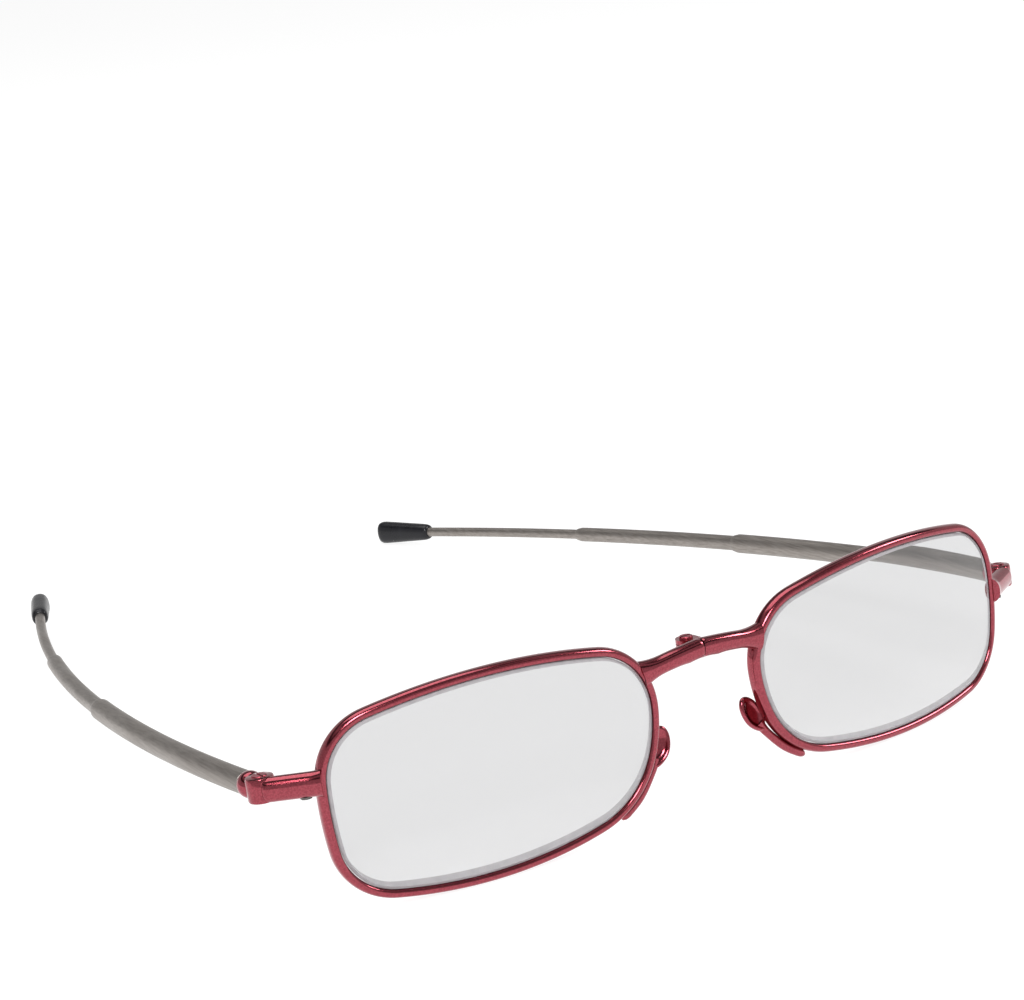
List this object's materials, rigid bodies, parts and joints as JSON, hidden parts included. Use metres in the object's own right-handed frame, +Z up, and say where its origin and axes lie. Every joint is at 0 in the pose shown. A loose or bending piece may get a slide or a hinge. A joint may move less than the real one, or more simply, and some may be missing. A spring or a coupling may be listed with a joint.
{
  "type": "folding reading glasses",
  "caption": "Reading glasses that fold at the bridge and at each temple, with telescoping curved tube temples, wire rims, clear lenses and metal leaf nose pads.",
  "frame": {"origin": "centre of the bounding box's footprint on the table plane, z = 0 under the rims and the lower tip", "axes": "+X toward the right end of the front as seen from in front, +Y from the front back along the open temples, +Z up"},
  "size_m": [0.1284, 0.1552, 0.0285],
  "materials": {
    "red_lacquer": "metallic lacquer, glossy",
    "red_screw": "metallic lacquer, glossy",
    "dark_screw": "dark plated steel",
    "satin_tube": "satin, brushed along the tube",
    "stop_collar": "plain",
    "black_tip": "smooth gloss",
    "clear_lens": "clear polished"
  },
  "bodies": {
    "right_front": {"right_rim": "red_lacquer", "right_lens": "clear_lens", "right_endpiece": "red_lacquer", "right_rim_screw": "dark_screw", "right_hinge_screw": "red_screw", "right_bridge_half": "red_lacquer", "right_nose_pad": "red_lacquer", "bridge_pin": "red_screw"},
    "right_temple_outer": {"right_temple_knuckle": "red_lacquer", "right_outer_tube": "satin_tube"},
    "right_temple_middle": {"right_middle_tube": "satin_tube", "right_middle_collar": "stop_collar"},
    "right_temple_inner": {"right_inner_rod": "satin_tube", "right_rod_collar": "stop_collar", "right_temple_tip": "black_tip"},
    "left_front": {"left_rim": "red_lacquer", "left_lens": "clear_lens", "left_endpiece": "red_lacquer", "left_rim_screw": "dark_screw", "left_hinge_screw": "red_screw", "left_bridge_half": "red_lacquer", "left_nose_pad": "red_lacquer"},
    "left_temple_outer": {"left_temple_knuckle": "red_lacquer", "left_outer_tube": "satin_tube"},
    "left_temple_middle": {"left_middle_tube": "satin_tube", "left_middle_collar": "stop_collar"},
    "left_temple_inner": {"left_inner_rod": "satin_tube", "left_rod_collar": "stop_collar", "left_temple_tip": "black_tip"}
  },
  "joints": [
    {"name": "bridge_fold", "type": "hinge", "parent": "right_front", "child": "left_front", "pos_m": [0, -0.07277, 0.02219], "axis": [0, -0.0418, -0.9991], "range_deg": [0, 152]},
    {"name": "left_temple_fold", "type": "hinge", "parent": "left_front", "child": "left_temple_outer", "pos_m": [-0.0623, -0.06612, 0.0184], "axis": [0, -0.0871, -0.9962], "range_deg": [0, 90]},
    {"name": "left_middle_slide", "type": "hinge", "parent": "left_temple_outer", "child": "left_temple_middle", "pos_m": [0.27655, -0.0561, 0.01753], "axis": [0, 0.0871, 0.9962], "range_deg": [0, 6.22]},
    {"name": "left_rod_slide", "type": "hinge", "parent": "left_temple_middle", "child": "left_temple_inner", "pos_m": [0.27655, -0.0561, 0.01753], "axis": [0, 0.0871, 0.9962], "range_deg": [0, 6.07]},
    {"name": "right_temple_fold", "type": "hinge", "parent": "right_front", "child": "right_temple_outer", "pos_m": [0.0623, -0.06628, 0.01451], "axis": [0, 0.0871, 0.9962], "range_deg": [0, 90]},
    {"name": "right_middle_slide", "type": "hinge", "parent": "right_temple_outer", "child": "right_temple_middle", "pos_m": [-0.27655, -0.05626, 0.01363], "axis": [0, -0.0871, -0.9962], "range_deg": [0, 6.22]},
    {"name": "right_rod_slide", "type": "hinge", "parent": "right_temple_middle", "child": "right_temple_inner", "pos_m": [-0.27655, -0.05626, 0.01363], "axis": [0, -0.0871, -0.9962], "range_deg": [0, 6.07]}
  ],
  "couplings": [
    {"joint": "left_middle_slide", "follows": "left_temple_fold", "ratio": 0.069108},
    {"joint": "left_rod_slide", "follows": "left_temple_fold", "ratio": 0.067418},
    {"joint": "right_middle_slide", "follows": "right_temple_fold", "ratio": 0.069108},
    {"joint": "right_rod_slide", "follows": "right_temple_fold", "ratio": 0.067418}
  ]
}
